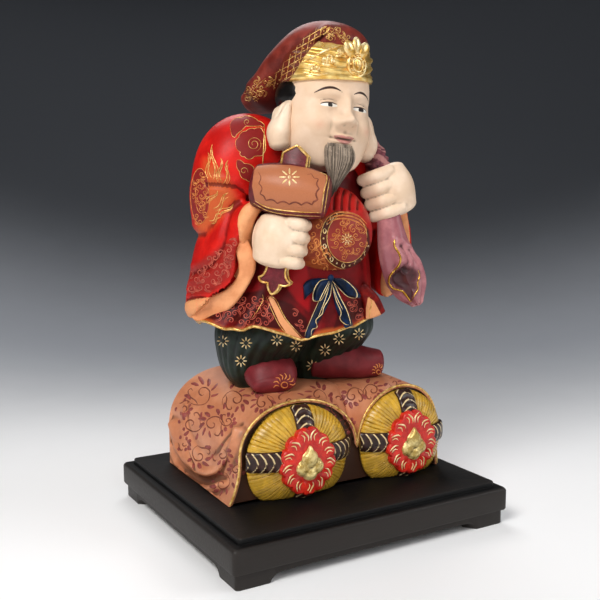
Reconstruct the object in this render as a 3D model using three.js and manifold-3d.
// A painted pottery figure of Daikoku, the god of plenty, standing on two rice bales under a cloth,
// on a black wooden display stand. Millimetres, +Z up, origin at the middle of the stand's underside.
// The figure looks along -Y, so its right hand, with the mallet, is on the -X side.
import * as THREE from "three";
import { mergeVertices } from "three/addons/utils/BufferGeometryUtils.js";
import Module from "manifold-3d";

const wasm = await Module();
wasm.setup();

const V = (x, y, z) => new THREE.Vector3(x, y, z);

// Display stand
const STAND_WIDTH = 220;
const STAND_DEPTH = 200;
const FOOT_HEIGHT = 10.3;
const BOARD_THICKNESS = 16.7;
const STEP_HEIGHT = 4;
const STEP_INSET = 6.7;
const BOARD_EDGE_ROUND = 2.5;
const APRON_INSET = 2.5;
const APRON_THICKNESS = 9;
const BRACKET_LENGTH = 24;
const BRACKET_RISE = 6;
const STAND_TOP = FOOT_HEIGHT + BOARD_THICKNESS + STEP_HEIGHT;

// Rice bales and the cloth over them
const REST_GAP = 0.3;
const BALE_BOTTOM = STAND_TOP + REST_GAP;
const BALES_HEIGHT = 66.2;
const BALE_UNDER_CLOTH = 3.2;
const BALE_FLAT_BELOW = 5;
const BALE_MIDDLES = [-32, 56];
const BALE_HALF_WIDTHS = [41, 37];
const BALE_HALF_HEIGHT = (BALES_HEIGHT - BALE_UNDER_CLOTH + BALE_FLAT_BELOW) / 2;
const BALE_MIDDLE_Z = BALE_BOTTOM - BALE_FLAT_BELOW + BALE_HALF_HEIGHT;
const BALE_FRONT_Y = -55;
const BALE_BACK_Y = 79;
const BALE_END_BULGE = 16;
const CLOTH_TOP_FRONT = BALE_BOTTOM + BALES_HEIGHT;
const CLOTH_TOP_BACK = CLOTH_TOP_FRONT + 5.5;
const CLOTH_FRONT_Y = -42;
const CLOTH_BACK_Y = 67;
const CLOTH_VALLEY_X = 18;
const CLOTH_VALLEY_DROP = 40;
const CLOTH_VALLEY_REACH = 30;
const CLOTH_SIDE_FRONT = [-77, 91];
const CLOTH_SIDE_BACK = [-83, 94];
const CLOTH_FLARES = [8, 1];
const SWAG_HALF_WIDTH = 6;
const SWAG_HEIGHT = 2.6;
const SWAG_MIDDLE_Y = 8;
const SWAG_HALF_SPAN = 42;
const SWAG_LOW_Z = BALE_BOTTOM + 13.7;
const SWAG_RISE = 36;
const ROPE_WIDTH = 14;
const ROPE_HEIGHT = 2.4;
const ROPE_TUCK = 5;
const JEWEL_HALF_WIDTH = 22;
const JEWEL_HALF_HEIGHT = 22;
const JEWEL_THICKNESS = 5;
const JEWEL_FLAMES = 13;
const GEM_RADIUS = 10.5;

// Mallet
const DRUM_LENGTH = 47;
const DRUM_RADIUS = 18;
const DRUM_END_RADIUS = 14.3;
const DRUM_END_BULGE = 3.5;
const DRUM_TURN = THREE.MathUtils.degToRad(-43);
const DRUM_TILT = THREE.MathUtils.degToRad(9.5);
const HANDLE_PITCH = THREE.MathUtils.degToRad(-3);
const HANDLE_WIDTH = 13;
const HANDLE_TOP_WIDTH = 17;
const HANDLE_THICKNESS = 7;
const HANDLE_TOP = 30;
const HANDLE_BOTTOM = 70;
const GRIP_CLEARANCE = 0.4;

// Figure. Its forms are laid out in 260 parts of its own height: x and y from the stand's middle, and z
// from the soles. Those of the head are laid out from the head's own middle.
const SOLE_GAP = 0.3;
const FIGURE_HEIGHT = 260;
const PART = FIGURE_HEIGHT / 260;
const SOLE_Z = CLOTH_TOP_FRONT - 0.5;
const HEAD_ROLL = THREE.MathUtils.degToRad(6);
const HEM_WAVES = 8;
const HEM_WAVE_DEPTH = 2.6;
const HEM_DROOP = 7;
const HEM_DROOP_ANGLE = 1.48 * Math.PI;
const LEG_PLEATS = 8;
const PLEAT_DEPTH = 2.4;

// Solids

// Turns a closed geometry into a manifold solid, with its faces out.
function solid(geometry) {
  const bare = geometry.index ? geometry.toNonIndexed() : geometry.clone();
  bare.deleteAttribute("normal");
  bare.deleteAttribute("uv");
  const merged = mergeVertices(bare, 1e-4);
  const make = (triVerts) =>
    new wasm.Manifold(
      new wasm.Mesh({ numProp: 3, vertProperties: merged.attributes.position.array, triVerts }),
    );
  const made = make(new Uint32Array(merged.index.array));
  return made.volume() < 0 ? make(new Uint32Array(merged.index.array).reverse()) : made;
}

// The geometry of a manifold solid.
function geometryOf(manifold) {
  const mesh = manifold.getMesh();
  const made = new THREE.BufferGeometry();
  made.setAttribute("position", new THREE.BufferAttribute(mesh.vertProperties, 3));
  made.setIndex(new THREE.BufferAttribute(mesh.triVerts, 1));
  made.computeVertexNormals();
  return made;
}

function joined(solids) {
  return solids.reduce((whole, piece) => whole.add(piece));
}

// A closed skin through rings of the same number of points, with a fan over each end, from the
// middle of the ring or from a point given.
function loft(rings, start = null, end = null) {
  const around = rings[0].length;
  const middle = (ring) =>
    ring.reduce((sum, p) => sum.add(p), V(0, 0, 0)).divideScalar(around);
  const points = [...rings.flat(), start ?? middle(rings[0]), end ?? middle(rings.at(-1))];
  const index = [];
  for (let k = 0; k + 1 < rings.length; k += 1) {
    for (let i = 0; i < around; i += 1) {
      const [a, b] = [k * around + i, k * around + ((i + 1) % around)];
      index.push(a, b, b + around, a, b + around, a + around);
    }
  }
  const foot = around * rings.length;
  const last = foot - around;
  for (let i = 0; i < around; i += 1) {
    const next = (i + 1) % around;
    index.push(foot, next, i, foot + 1, last + i, last + next);
  }
  const made = new THREE.BufferGeometry().setFromPoints(points);
  made.setIndex(index);
  return solid(made);
}

// The value of a Catmull-Rom curve through numbers, at t from 0 to 1.
function smooth(values, t) {
  const spot = Math.min(t, 0.999999) * (values.length - 1);
  const k = Math.floor(spot);
  const u = spot - k;
  const [p1, p2] = [values[k], values[k + 1]];
  const p0 = values[k - 1] ?? 2 * p1 - p2;
  const p3 = values[k + 2] ?? 2 * p2 - p1;
  const [c1, c2] = [(p2 - p0) / 2, (p3 - p1) / 2];
  return p1 + u * (c1 + u * (3 * (p2 - p1) - 2 * c1 - c2 + u * (2 * (p1 - p2) + c1 + c2)));
}

const power = (value, exponent) => Math.sign(value) * Math.abs(value) ** exponent;

// A limb: ovals along a smooth line. Each station is [x, y, z, half along side, half across],
// `side` is the direction of the first half size. The ends are domed by `domes` mm, through a ring
// at each of the angles in `lifts`.
function limb(stations, { side = V(1, 0, 0), count = 5, around = 12, domes = [0, 0], lifts = [50] } = {}) {
  const column = (k) => stations.map((station) => station[k]);
  const at = (t) => V(smooth(column(0), t), smooth(column(1), t), smooth(column(2), t));
  const frames = [];
  for (let k = 0; k <= count; k += 1) {
    const t = k / count;
    const along = at(Math.min(t + 0.01, 1)).sub(at(Math.max(t - 0.01, 0))).normalize();
    const first = side.clone().addScaledVector(along, -side.dot(along)).normalize();
    const second = along.clone().cross(first);
    frames.push({ middle: at(t), along, first, second, a: smooth(column(3), t), b: smooth(column(4), t) });
  }
  const ring = ({ middle, first, second, a, b }, scale = 1) =>
    Array.from({ length: around }, (_, i) => {
      const angle = (2 * Math.PI * i) / around;
      return middle
        .clone()
        .addScaledVector(first, scale * a * Math.cos(angle))
        .addScaledVector(second, scale * b * Math.sin(angle));
    });
  const dome = (frame, depth) =>
    lifts.map((degrees) => {
      const lift = THREE.MathUtils.degToRad(degrees);
      const middle = frame.middle.clone().addScaledVector(frame.along, depth * Math.sin(lift));
      return ring({ ...frame, middle }, Math.cos(lift));
    });
  const start = domes[0] ? dome(frames[0], -domes[0]).reverse() : [];
  const end = domes[1] ? dome(frames.at(-1), domes[1]) : [];
  return loft([...start, ...frames.map((frame) => ring(frame)), ...end]);
}

function ball(middle, radii, turn = [0, 0, 0], detail = 14) {
  const made = new THREE.SphereGeometry(1, detail, Math.ceil(detail * 0.6));
  made.rotateX(Math.PI / 2);
  made.scale(...radii);
  made.applyMatrix4(new THREE.Matrix4().makeRotationFromEuler(new THREE.Euler(...turn)));
  made.translate(...middle);
  return solid(made);
}

// Moves a manifold solid by a three.js matrix.
function moved(manifold, matrix) {
  return solid(geometryOf(manifold).applyMatrix4(matrix));
}

// Display stand: a board with a stepped top on an apron cut away between corner brackets

function rectangle(width, depth) {
  return new THREE.Shape([
    new THREE.Vector2(-width / 2, -depth / 2),
    new THREE.Vector2(width / 2, -depth / 2),
    new THREE.Vector2(width / 2, depth / 2),
    new THREE.Vector2(-width / 2, depth / 2),
  ]);
}

function slab(width, depth, low, high) {
  const made = new THREE.ExtrudeGeometry(rectangle(width, depth), { depth: high - low, bevelEnabled: false });
  return solid(made.translate(0, 0, low));
}

// The opening under one side, with a curved shoulder at each end.
function bracketOpening(length, wall) {
  const half = length / 2;
  const open = new THREE.Shape();
  open.moveTo(-half, -1);
  open.lineTo(-half, 1.5);
  open.quadraticCurveTo(-half + 1, BRACKET_RISE, -half + BRACKET_RISE * 1.6, BRACKET_RISE);
  open.lineTo(half - BRACKET_RISE * 1.6, BRACKET_RISE);
  open.quadraticCurveTo(half - 1, BRACKET_RISE, half, 1.5);
  open.lineTo(half, -1);
  const made = new THREE.ExtrudeGeometry(open, { depth: wall, bevelEnabled: false, curveSegments: 4 });
  return made.rotateX(Math.PI / 2).translate(0, wall / 2, 0);
}

function displayStand() {
  const bevel = BOARD_EDGE_ROUND;
  const board = new THREE.ExtrudeGeometry(
    rectangle(STAND_WIDTH - 2 * bevel, STAND_DEPTH - 2 * bevel),
    { depth: BOARD_THICKNESS - 2 * bevel, bevelThickness: bevel, bevelSize: bevel, bevelSegments: 2 },
  );
  board.translate(0, 0, FOOT_HEIGHT + bevel);
  const apronWidth = STAND_WIDTH - 2 * APRON_INSET;
  const apronDepth = STAND_DEPTH - 2 * APRON_INSET;
  const apron = slab(apronWidth, apronDepth, 0, FOOT_HEIGHT + 1).subtract(
    slab(apronWidth - 2 * APRON_THICKNESS, apronDepth - 2 * APRON_THICKNESS, -1, FOOT_HEIGHT),
  );
  const across = solid(bracketOpening(apronWidth - 2 * BRACKET_LENGTH, STAND_DEPTH));
  const along = solid(
    bracketOpening(apronDepth - 2 * BRACKET_LENGTH, STAND_WIDTH).rotateZ(Math.PI / 2),
  );
  const step = slab(
    STAND_WIDTH - 2 * STEP_INSET,
    STAND_DEPTH - 2 * STEP_INSET,
    STAND_TOP - STEP_HEIGHT - 1,
    STAND_TOP,
  );
  return joined([apron.subtract(across).subtract(along), solid(board), step]);
}

// Rice bales with their ropes, end ornaments and cloth, cast as one

// How far the front of a bale has curved back, at a share of its radius.
const endSetback = (share) => BALE_END_BULGE * (1 - Math.sqrt(1 - Math.min(share, 0.999) ** 2.6));

function bale(middleX, halfWidth) {
  const line = [
    ...[0, 0.45, 0.75, 0.93, 1].map((r) => new THREE.Vector2(r, BALE_FRONT_Y + endSetback(r))),
    ...[1, 0.85, 0].map((r) => new THREE.Vector2(r, BALE_BACK_Y - endSetback(r))),
  ];
  const made = new THREE.LatheGeometry(line, 16);
  made.scale(halfWidth, 1, BALE_HALF_HEIGHT);
  return solid(made.translate(middleX, 0, BALE_MIDDLE_Z));
}

// A rope over the end of a bale, bent to its bulge: level across, or upright.
function endRope(middleX, halfWidth, upright) {
  const reach = upright ? BALE_HALF_HEIGHT : halfWidth;
  const stations = [-0.97, -0.9, -0.75, -0.35, 0.35, 0.75, 0.9, 0.97].map((share) => [
    middleX + (upright ? 0 : share * reach),
    BALE_FRONT_Y + endSetback(Math.abs(share)) + (Math.abs(share) > 0.95 ? ROPE_TUCK : 0),
    BALE_MIDDLE_Z + (upright ? share * reach : 0),
    ROPE_WIDTH / 2,
    ROPE_HEIGHT,
  ]);
  const side = upright ? V(1, 0, 0) : V(0, 0, 1);
  return limb(stations, { side, count: 6, around: 6 });
}

// The flaming jewel on the end of a bale: a leaf of flames with a raised gem.
function jewel(middleX) {
  const outline = new THREE.Shape();
  const steps = JEWEL_FLAMES * 2;
  for (let k = 0; k < steps; k += 1) {
    const angle = (2 * Math.PI * k) / steps;
    const peak = Math.max(0, Math.cos(angle)) ** 8 * 4;
    const flame = k % 2 ? 0.88 : 1;
    const x = JEWEL_HALF_WIDTH * flame * Math.sin(angle);
    const z = (JEWEL_HALF_HEIGHT * flame + peak) * Math.cos(angle);
    if (k) outline.lineTo(x, z);
    else outline.moveTo(x, z);
  }
  const leaf = new THREE.ExtrudeGeometry(outline, { depth: JEWEL_THICKNESS, bevelEnabled: false });
  leaf.rotateX(Math.PI / 2).translate(middleX, BALE_FRONT_Y + 2, BALE_MIDDLE_Z - 3);
  const gemMiddle = [middleX, BALE_FRONT_Y - 3.5, BALE_MIDDLE_Z - 3.5];
  const gem = ball(gemMiddle, [GEM_RADIUS, 4, GEM_RADIUS + 2], [0, 0, 0], 10);
  return joined([solid(leaf), gem]);
}

// How far back a section of the cloth is, from 0 at the front to 1 at the back.
const clothShare = (y) => (y - CLOTH_FRONT_Y) / (CLOTH_BACK_Y - CLOTH_FRONT_Y);

const clothTop = (y) => THREE.MathUtils.lerp(CLOTH_TOP_FRONT, CLOTH_TOP_BACK, clothShare(y));

const clothSide = (y, k) => THREE.MathUtils.lerp(CLOTH_SIDE_FRONT[k], CLOTH_SIDE_BACK[k], clothShare(y));

// One side of a section of the cloth, from its foot to the top of the bale: k is 0 at the left.
function clothFlank(y, k) {
  const side = k ? 1 : -1;
  const flare = CLOTH_FLARES[k] * (1 - clothShare(y));
  const halfWidth = side * (clothSide(y, k) - BALE_MIDDLES[k]);
  const line = [-0.1, 0.25, 0.6, 1].map((share) => [
    clothSide(y, k) + side * flare * (1 - share) ** 2,
    BALE_BOTTOM + share * (BALE_MIDDLE_Z - BALE_BOTTOM),
  ]);
  const steps = 5;
  for (let n = 1; n <= steps; n += 1) {
    const angle = (Math.PI / 2) * (n / steps);
    line.push([
      BALE_MIDDLES[k] + side * halfWidth * Math.cos(angle) ** 0.9,
      BALE_MIDDLE_Z + (clothTop(y) - BALE_MIDDLE_Z) * Math.sin(angle) ** 0.9,
    ]);
  }
  return line;
}

// The way down from the top of a bale to the valley between the bales.
function clothDip(y, k) {
  const reach = THREE.MathUtils.smoothstep(y, CLOTH_FRONT_Y, CLOTH_FRONT_Y + CLOTH_VALLEY_REACH);
  const drop = CLOTH_VALLEY_DROP * (1 - reach) + 2 * reach;
  const middle = BALE_MIDDLES[k];
  return [0.2, 0.4, 0.6, 0.8, 1].map((share) => {
    const fall = Math.sin((Math.PI / 2) * share) ** 2 * 0.5 + 0.5 * share ** 2;
    return [middle + (CLOTH_VALLEY_X - middle) * share, clothTop(y) - drop * fall];
  });
}

// One closed section of the cloth, solid down to the stand.
function clothSection(y) {
  const left = [...clothFlank(y, 0), ...clothDip(y, 0)];
  const right = [...clothFlank(y, 1), ...clothDip(y, 1).slice(0, -1)];
  return [...left, ...right.reverse()].map(([x, z]) => V(x, y, z));
}

// The swag: a roll of cloth hung in a curve on the left side.
function swag() {
  const stations = [-1, -0.7, -0.35, 0, 0.35, 0.7, 1].map((share) => {
    const y = SWAG_MIDDLE_Y + SWAG_HALF_SPAN * share;
    const z = SWAG_LOW_Z + SWAG_RISE * share * share;
    const line = clothFlank(y, 0);
    const k = line.findIndex((point) => point[1] > z);
    const along = (z - line[k - 1][1]) / (line[k][1] - line[k - 1][1]);
    const x = THREE.MathUtils.lerp(line[k - 1][0], line[k][0], along);
    const thin = 1 - 0.75 * share ** 4;
    return [x + 0.5, y, z, SWAG_HEIGHT * thin, SWAG_HALF_WIDTH * thin];
  });
  return limb(stations, { side: V(1, 0, 0), count: 8, around: 6 });
}

function cloth() {
  const depths = [0, 0.2, 0.4, 0.6, 0.8, 1].map((share) => CLOTH_FRONT_Y + CLOTH_VALLEY_REACH * share);
  const low = (y) => V(CLOTH_VALLEY_X, y, BALE_BOTTOM + CLOTH_VALLEY_DROP / 4);
  const rings = [...depths, CLOTH_BACK_Y].map((y) => clothSection(y));
  return loft(rings, low(CLOTH_FRONT_Y), low(CLOTH_BACK_Y));
}

function riceBales() {
  const pieces = [cloth(), swag()];
  BALE_MIDDLES.forEach((middleX, k) => {
    const halfWidth = BALE_HALF_WIDTHS[k];
    pieces.push(bale(middleX, halfWidth), jewel(middleX));
    pieces.push(endRope(middleX, halfWidth, false), endRope(middleX, halfWidth, true));
  });
  return joined(pieces).subtract(slab(STAND_WIDTH, STAND_DEPTH, -50, BALE_BOTTOM));
}

// Mallet: a barrel-shaped head on a flat handle with a pointed top and a scalloped foot

function malletHandle(grow = 0) {
  const half = HANDLE_WIDTH / 2 + grow;
  const wide = HANDLE_TOP_WIDTH / 2 + grow;
  const shape = new THREE.Shape();
  shape.moveTo(-half, DRUM_RADIUS / 2);
  shape.lineTo(-wide, DRUM_RADIUS / 2);
  shape.lineTo(-wide, HANDLE_TOP - 6);
  shape.lineTo(0, HANDLE_TOP + grow);
  shape.lineTo(wide, HANDLE_TOP - 6);
  shape.lineTo(wide, DRUM_RADIUS / 2);
  shape.lineTo(half, DRUM_RADIUS / 2);
  shape.lineTo(half, -HANDLE_BOTTOM + 17);
  shape.quadraticCurveTo(half + 0.5, -HANDLE_BOTTOM + 11, half + 4.5, -HANDLE_BOTTOM + 10);
  shape.quadraticCurveTo(half + 3, -HANDLE_BOTTOM + 6, half - 2.5, -HANDLE_BOTTOM + 7.5);
  shape.quadraticCurveTo(half - 2.5, -HANDLE_BOTTOM + 3, 0, -HANDLE_BOTTOM - grow);
  shape.quadraticCurveTo(-half + 2.5, -HANDLE_BOTTOM + 3, -half + 2.5, -HANDLE_BOTTOM + 7.5);
  shape.quadraticCurveTo(-half - 3, -HANDLE_BOTTOM + 6, -half - 4.5, -HANDLE_BOTTOM + 10);
  shape.quadraticCurveTo(-half - 0.5, -HANDLE_BOTTOM + 11, -half, -HANDLE_BOTTOM + 17);
  const depth = HANDLE_THICKNESS + 2 * grow;
  const made = new THREE.ExtrudeGeometry(shape, { depth, bevelEnabled: false, curveSegments: 2 });
  return made.rotateX(Math.PI / 2).translate(0, depth / 2, 0);
}

function malletHead() {
  const points = [];
  const rows = 5;
  points.push(new THREE.Vector2(0, -DRUM_LENGTH / 2 - DRUM_END_BULGE));
  points.push(new THREE.Vector2(DRUM_END_RADIUS * 0.7, -DRUM_LENGTH / 2 - DRUM_END_BULGE * 0.7));
  for (let k = 0; k <= rows; k += 1) {
    const along = (2 * k) / rows - 1;
    const radius = DRUM_RADIUS - (DRUM_RADIUS - DRUM_END_RADIUS) * along * along;
    points.push(new THREE.Vector2(radius, (along * DRUM_LENGTH) / 2));
  }
  points.push(new THREE.Vector2(DRUM_END_RADIUS * 0.7, DRUM_LENGTH / 2 + DRUM_END_BULGE * 0.7));
  points.push(new THREE.Vector2(0, DRUM_LENGTH / 2 + DRUM_END_BULGE));
  return new THREE.LatheGeometry(points, 16).rotateZ(Math.PI / 2);
}

// Limbs, ovals and balls with sizes in parts of the figure's height, measured from `origin`.
function drafting(origin) {
  const point = (x, y, z) => V(x, y, z).multiplyScalar(PART).add(origin);
  return {
    point,
    limb: (stations, options = {}) =>
      limb(
        stations.map(([x, y, z, a, b]) => [...point(x, y, z), a * PART, b * PART]),
        { ...options, domes: (options.domes ?? [0, 0]).map((depth) => depth * PART) },
      ),
    ovals: (rows, options) =>
      ovals(
        rows.map(([z, x, y, ...sizes]) => {
          const middle = point(x, y, z);
          return [middle.z, middle.x, middle.y, ...sizes.map((size) => size * PART)];
        }),
        options,
      ),
    ball: (middle, radii, turn, detail) =>
      ball(point(...middle), radii.map((radius) => radius * PART), turn, detail),
  };
}

const onBody = drafting(V(0, 0, SOLE_Z));
const onHead = drafting(V(0, 0, 0));

const malletPlace = new THREE.Matrix4()
  .makeRotationFromEuler(new THREE.Euler(HANDLE_PITCH, DRUM_TILT, DRUM_TURN, "ZYX"))
  .setPosition(onBody.point(-36, -40.5, 143));

function mallet() {
  return joined([solid(malletHead()), solid(malletHandle())]);
}

// Figure

// A closed skin of level ovals. Each row: z, middle x, middle y, half width, front depth, back depth.
// `ripple` pushes the skin out at an angle and a share of the height, and lifts it by `lift` of that;
// `droop` lowers it.
function ovals(
  rows,
  { around = 32, count = 12, square = 0.9, ripple = () => 0, lift = 0, droop = () => 0 } = {},
) {
  const rings = [];
  for (let k = 0; k <= count; k += 1) {
    const t = k / count;
    const [z, x, y, half, front, back] = rows[0].map((_, c) => smooth(rows.map((row) => row[c]), t));
    rings.push(
      Array.from({ length: around }, (_, i) => {
        const angle = (2 * Math.PI * i) / around;
        const deep = Math.sin(angle) < 0 ? front : back;
        const wave = ripple(angle, t);
        return V(
          x + (half + wave) * power(Math.cos(angle), square),
          y + (deep + wave) * power(Math.sin(angle), square),
          z + lift * wave - droop(angle, t),
        );
      }),
    );
  }
  return loft(rings);
}

function robeBody() {
  const rows = [
    [51, -13, 14, 66, 60, 46],
    [63, -8, 12, 58, 56, 45],
    [81, -2, 12, 53, 54, 44],
    [106, 0, 12, 50, 50, 43],
    [130, 0, 12, 50, 48, 42],
    [146, 0, 12, 48, 43, 41],
    [159, 1, 12, 43, 36, 38],
    [173, 2, 10, 32, 30, 32],
    [187, 3, 4, 22, 20, 26],
  ];
  const ripple = (angle, t) =>
    Math.sin(HEM_WAVES * angle + 0.6) * HEM_WAVE_DEPTH * Math.max(0, 1 - t / 0.35) ** 1.5;
  const front = (angle) => Math.exp(-(((angle - HEM_DROOP_ANGLE) / 0.42) ** 2));
  const droop = (angle, t) => HEM_DROOP * front(angle) * Math.max(0, 1 - t / 0.3);
  const body = onBody.ovals(rows, { around: 28, count: 7, ripple, lift: 0.8, droop });
  const flap = onBody.limb(
    [
      [26, -34, 75, 4, 3],
      [34, -37, 61, 8, 3.5],
      [38, -37, 49, 11, 3],
    ],
    { side: V(0.9, -0.2, 0), count: 3, around: 8 },
  );
  return body.add(flap);
}

function trousers() {
  const ripple = (angle) => Math.abs(Math.cos((LEG_PLEATS / 2) * angle)) * PLEAT_DEPTH;
  const legs = [-1, 1].map((side) =>
    onBody.ovals(
      [
        [-2, side * 24 - 4, 12, 20, 10, 26],
        [9, side * 27 - 4, 12, 25, 13, 32],
        [23, side * 27 - 5, 12, 28, 24, 37],
        [41, side * 27 - 4, 12, 30, 44, 40],
        [59, side * 24 - 2, 12, 28, 44, 38],
      ],
      { around: 20, count: 4, square: 1, ripple },
    ),
  );
  return joined(legs);
}

function boots() {
  const right = onBody.limb(
    [
      [-27, 16, 15, 15, 16],
      [-30, 4, 14, 18, 15],
      [-34, -8, 11, 18, 12],
      [-36, -17, 7, 14, 7],
    ],
    { side: V(0.9, -0.4, 0), domes: [4, 5], count: 4 },
  );
  const left = onBody.limb(
    [
      [12, 10, 15, 15, 15],
      [28, 2, 14, 17, 14],
      [43, -6, 12, 15, 12],
      [56, -12, 12, 9, 9],
    ],
    { side: V(0.4, 0.9, 0), domes: [4, 5], count: 4 },
  );
  return joined([right, left]);
}

// A wide sleeve hanging from a bent arm, as leaf-shaped sections from elbow to cuff. Each section
// holds the points of its middle line from top to bottom, its half width, and the turn of its width.
function hangingSleeve(sections, around = 14, count = 5) {
  const rows = sections.map(({ line, half, turn }) => [...line.flat(), half, turn]);
  const rings = [];
  for (let k = 0; k <= count; k += 1) {
    const row = rows[0].map((_, c) => smooth(rows.map((values) => values[c]), k / count));
    const [half, turn] = row.slice(-2);
    const points = [0, 3, 6, 9].map((c) => onBody.point(row[c], row[c + 1], row[c + 2]));
    const line = new THREE.CatmullRomCurve3(points);
    const across = V(Math.cos(turn), Math.sin(turn), 0);
    rings.push(
      Array.from({ length: around }, (_, i) => {
        const angle = (2 * Math.PI * i) / around;
        const fall = (1 - Math.cos(angle)) / 2;
        const width = half * PART * power(Math.sin(angle), 0.75) * (0.85 + 0.3 * fall);
        return line.getPoint(fall).addScaledVector(across, width);
      }),
    );
  }
  return loft(rings);
}

function rightArm() {
  const upper = onBody.limb(
    [
      [-16, 14, 161, 26, 26],
      [-41, 17, 166, 30, 31],
      [-55, 17, 142, 26, 27],
      [-60, 20, 117, 19, 20],
    ],
    { side: V(0, 1, 0), domes: [0, 10], around: 11 },
  );
  const sleeve = hangingSleeve([
    { line: [[-57, 33, 121], [-62, 36, 109], [-64, 36, 95], [-64, 33, 85]], half: 9, turn: 0.15 },
    { line: [[-58, 20, 132], [-65, 23, 107], [-70, 25, 79], [-77, 27, 59]], half: 14, turn: 0.25 },
    { line: [[-56, -2, 137], [-62, 4, 109], [-67, 8, 81], [-82, 19, 54]], half: 15, turn: 0.35 },
    { line: [[-52, -23, 134], [-56, -15, 108], [-58, -11, 81], [-83, 10, 56]], half: 12, turn: 0.4 },
  ]);
  const forearm = onBody.limb(
    [
      [-62, 8, 115, 13, 13],
      [-53, -18, 113, 14, 15],
      [-47, -30, 111, 14, 16],
    ],
    { side: V(0.8, 0.6, 0), count: 3, around: 12 },
  );
  const fold = onBody.limb(
    [
      [-62, 6, 123, 6, 6],
      [-68, 6, 113, 7, 7],
      [-72, 8, 99, 7, 7],
      [-77, 14, 85, 6, 6],
      [-82, 22, 73, 4, 4],
    ],
    { domes: [3, 2], count: 5, around: 8 },
  );
  return joined([upper, sleeve, forearm, fold]);
}

function leftArm() {
  const upper = onBody.limb(
    [
      [16, 12, 161, 26, 26],
      [38, 12, 165, 29, 30],
      [54, 8, 143, 24, 25],
      [62, 4, 119, 18, 19],
    ],
    { side: V(0, 1, 0), domes: [0, 10], around: 11 },
  );
  const sleeve = hangingSleeve([
    { line: [[56, 30, 123], [59, 32, 113], [60, 32, 101], [58, 30, 91]], half: 8, turn: 0 },
    { line: [[62, 16, 137], [67, 16, 117], [68, 16, 95], [62, 14, 73]], half: 14, turn: -0.1 },
    { line: [[66, 0, 145], [68, -3, 118], [68, -5, 93], [60, -8, 67]], half: 15, turn: -0.35 },
    { line: [[66, -15, 145], [66, -18, 118], [65, -20, 93], [56, -23, 64]], half: 13, turn: -0.53 },
  ]);
  return joined([upper, sleeve]);
}

// A closed fist: a palm with four curled fingers. `out` is where the fingers lie, `up` is the
// forefinger's side, and `reach` is the way the fingers point.
function fist(middle, { out, up, size, mirror }) {
  const outward = V(...out).normalize();
  const upward = V(...up).addScaledVector(outward, -V(...up).dot(outward)).normalize();
  const across = upward.clone().cross(outward).multiplyScalar(mirror);
  const at = (x, y, z) =>
    V(...middle)
      .addScaledVector(across, x * size)
      .addScaledVector(outward, y * size)
      .addScaledVector(upward, z * size);
  const palm = onBody.limb(
    [
      [...at(-4, -3, -13), 17 * size, 15 * size],
      [...at(-4, -2, 2), 18 * size, 16 * size],
      [...at(-2, -2, 14), 15 * size, 14 * size],
    ],
    { side: across, count: 2, around: 10, domes: [6 * size, 5 * size] },
  );
  const fingers = [0, 1, 2, 3].map((k) => {
    const z = 13.5 - 9.2 * k;
    return onBody.limb(
      [
        [...at(-5, 8, z), 4.8 * size, 5.4 * size],
        [...at(8, 11 - 0.4 * k, z), 4.8 * size, 5.4 * size],
        [...at(18, 4, z), 4.4 * size, 5 * size],
      ],
      { side: upward, domes: [0, 3], count: 2, around: 6 },
    );
  });
  return joined([palm, ...fingers]);
}

function bag() {
  const drape = onBody.limb(
    [
      [47, -35, 135, 7, 7],
      [49, -38, 113, 11, 8],
      [52, -40, 98, 12.5, 9],
      [57, -42.5, 79, 13, 8],
      [58.5, -44, 65, 8, 5],
    ],
    { side: V(0.863, -0.505, 0), domes: [0, 3], count: 5, around: 12 },
  );
  const neck = onBody.limb(
    [
      [45, -32, 151, 9, 9],
      [47, -16, 169, 9, 9],
      [44, 4, 179, 14, 13],
      [38, 22, 177, 26, 24],
    ],
    { count: 4 },
  );
  const sack = onBody.ball([35, 33, 169], [43, 35, 39], [0, 0, 0], 12);
  return joined([drape, neck, sack]);
}

function head() {
  // Height, middle x, middle y, half width, front depth and back depth, from the head's middle.
  const skull = onHead.ovals(
    [
      [-37, 0, -6, 12, 14, 8],
      [-33, 0, -3, 22, 22, 20],
      [-22, 0, 0, 30.5, 26, 26],
      [-8, 0, 0, 32, 27.5, 28],
      [8, 0, 0, 30, 27, 29],
      [24, 0, 0, 29, 27, 29],
      [40, 0, 2, 24, 23, 25],
      [50, 0, 4, 12, 12, 12],
    ],
    { around: 18, count: 7, square: 0.92 },
  );
  const ears = [-1, 1].map((side) =>
    onHead.limb(
      [
        [side * 31, 3, 10, 3, 6],
        [side * 34, 1, 0, 5.5, 8],
        [side * 36, -1, -12, 7.5, 9],
        [side * 35, -2, -20, 7, 7],
      ],
      { domes: [2, 4], count: 3, around: 7 },
    ),
  );
  const nose = onHead.ball([0, -29, -2], [6.5, 5, 5.5], [0, 0, 0], 8);
  const lips = onHead.ball([0, -25.5, -15], [9, 4, 3.5], [0, 0, 0], 8);
  const lids = [-1, 1].map((side) => onHead.ball([side * 13, -23.5, 7], [7, 3.5, 4], [0, 0, side * 0.3], 7));
  const hair = onHead.ball([0, 5, 12], [32.5, 28, 16], [0, 0, 0], 10);
  const beard = onHead.limb(
    [
      [-1, -24, -20, 11, 5],
      [-3, -27, -32, 11, 6],
      [-4, -28, -42, 6, 4.5],
      [-4, -27, -50, 3, 3],
      [-4, -27, -54, 1.5, 1.5],
    ],
    { count: 4, around: 8 },
  );
  const place = new THREE.Matrix4()
    .makeRotationFromEuler(new THREE.Euler(0, HEAD_ROLL, 0))
    .setPosition(onBody.point(4, -19, 193));
  return moved(joined([skull, ...ears, nose, lips, ...lids, hair, beard]), place);
}

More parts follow.
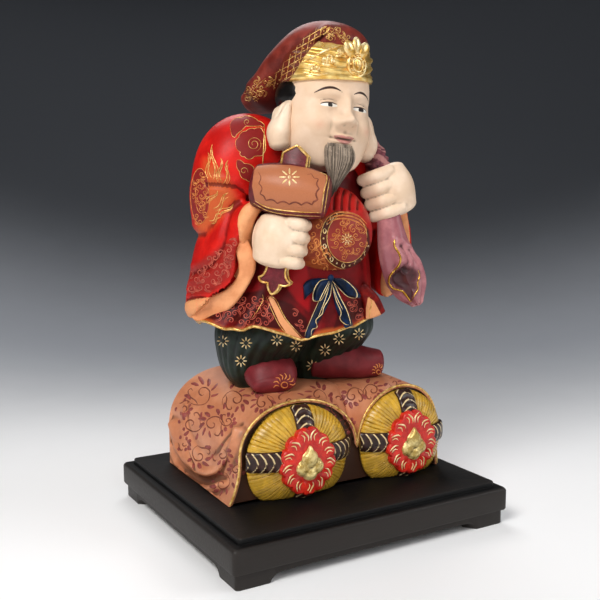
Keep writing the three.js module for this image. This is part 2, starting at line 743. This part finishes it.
function cap() {
  const band = onBody.ovals(
    [
      [218, 6, -16, 31.5, 28, 26],
      [225, 6, -15, 32.5, 29.5, 26],
      [233, 7, -14, 31.5, 29, 26],
      [240, 8, -12, 28, 26, 26],
    ],
    { around: 20, count: 2, square: 0.95 },
  );
  const crown = onBody.limb(
    [
      [13, -36, 237, 16, 8],
      [12, -26, 242, 27, 15],
      [8, -8, 241, 33, 19],
      [0, 10, 231, 33, 16],
      [-7, 25, 220, 29, 13],
      [-14, 37, 212, 24, 12],
      [-20, 44, 207, 16, 8],
    ],
    { side: V(0.92, 0.38, 0), domes: [4, 5], count: 6, around: 14 },
  );
  const medallion = onBody.ball([12, -43, 227], [8, 3.5, 8], [0, 0, 0.15], 10);
  return joined([band, crown, medallion]);
}

function bow() {
  const knot = onBody.ball([-9, -48, 85], [6, 5, 5], [0, 0, 0], 8);
  const loops = [-1, 1].map((side) =>
    onBody.ball([-8 + side * 11, -49, 77], [10, 4, 6.5], [0, side * 0.6, 0], 8),
  );
  const tails = [-1, 1].map((side) =>
    onBody.limb(
      [
        [-8 + side * 2, -47, 83, 4, 3],
        [-9 + side * 6, -47.5, 63, 6, 3.5],
        [-10 + side * 13, -48, 43, 7, 4],
      ],
      { count: 2, around: 6 },
    ),
  );
  return joined([knot, ...loops, ...tails]);
}

function belly() {
  return onBody.ovals(
    [
      [86, 0, -22, 12, 10, 12],
      [89, 0, -20, 24, 22, 24],
      [99, 0, -18, 35, 34, 34],
      [114, 0, -18, 38, 38, 36],
      [129, 0, -17, 34, 35, 34],
      [142, 0, -15, 24, 26, 26],
      [148, 0, -12, 10, 12, 12],
    ],
    { around: 16, count: 5, square: 1 },
  );
}

function figure() {
  const gripHole = moved(solid(malletHandle(GRIP_CLEARANCE)), malletPlace);
  const drumHole = moved(solid(malletHead().scale(1.02, 1.03, 1.03)), malletPlace);
  const rightFist = fist([-42, -35, 110], { out: [-0.35, -0.94, 0], up: [0.16, -0.07, 1], size: 1.02, mirror: 1 });
  const leftFist = fist([48, -32, 143], { out: [-0.35, -0.94, 0], up: [-0.1, 0, 1], size: 1, mirror: -1 });
  const whole = joined([
    robeBody(),
    belly(),
    trousers(),
    boots(),
    rightArm(),
    leftArm(),
    bag(),
    head(),
    cap(),
    bow(),
    rightFist,
    leftFist,
  ]);
  const ground = moved(cloth(), new THREE.Matrix4().makeTranslation(0, 0, SOLE_GAP));
  return whole.subtract(gripHole).subtract(drumHole).subtract(ground);
}

// Assembly

const finishes = {
  display_stand: { color: 0x1b181a, roughness: 0.4, metalness: 0 },
  rice_bales: { color: 0xb9663f, roughness: 0.35, metalness: 0 },
  figure: { color: 0xb3201a, roughness: 0.45, metalness: 0 },
  mallet: { color: 0xb4623a, roughness: 0.3, metalness: 0 },
};

function named(name, manifold, matrix) {
  const mesh = new THREE.Mesh(geometryOf(manifold), new THREE.MeshStandardMaterial(finishes[name]));
  mesh.name = name;
  if (matrix) mesh.applyMatrix4(matrix);
  return mesh;
}

const daikoku = new THREE.Group();
daikoku.add(
  named("display_stand", displayStand()),
  named("rice_bales", riceBales()),
  named("figure", figure()),
  named("mallet", mallet(), malletPlace),
);

export default daikoku;
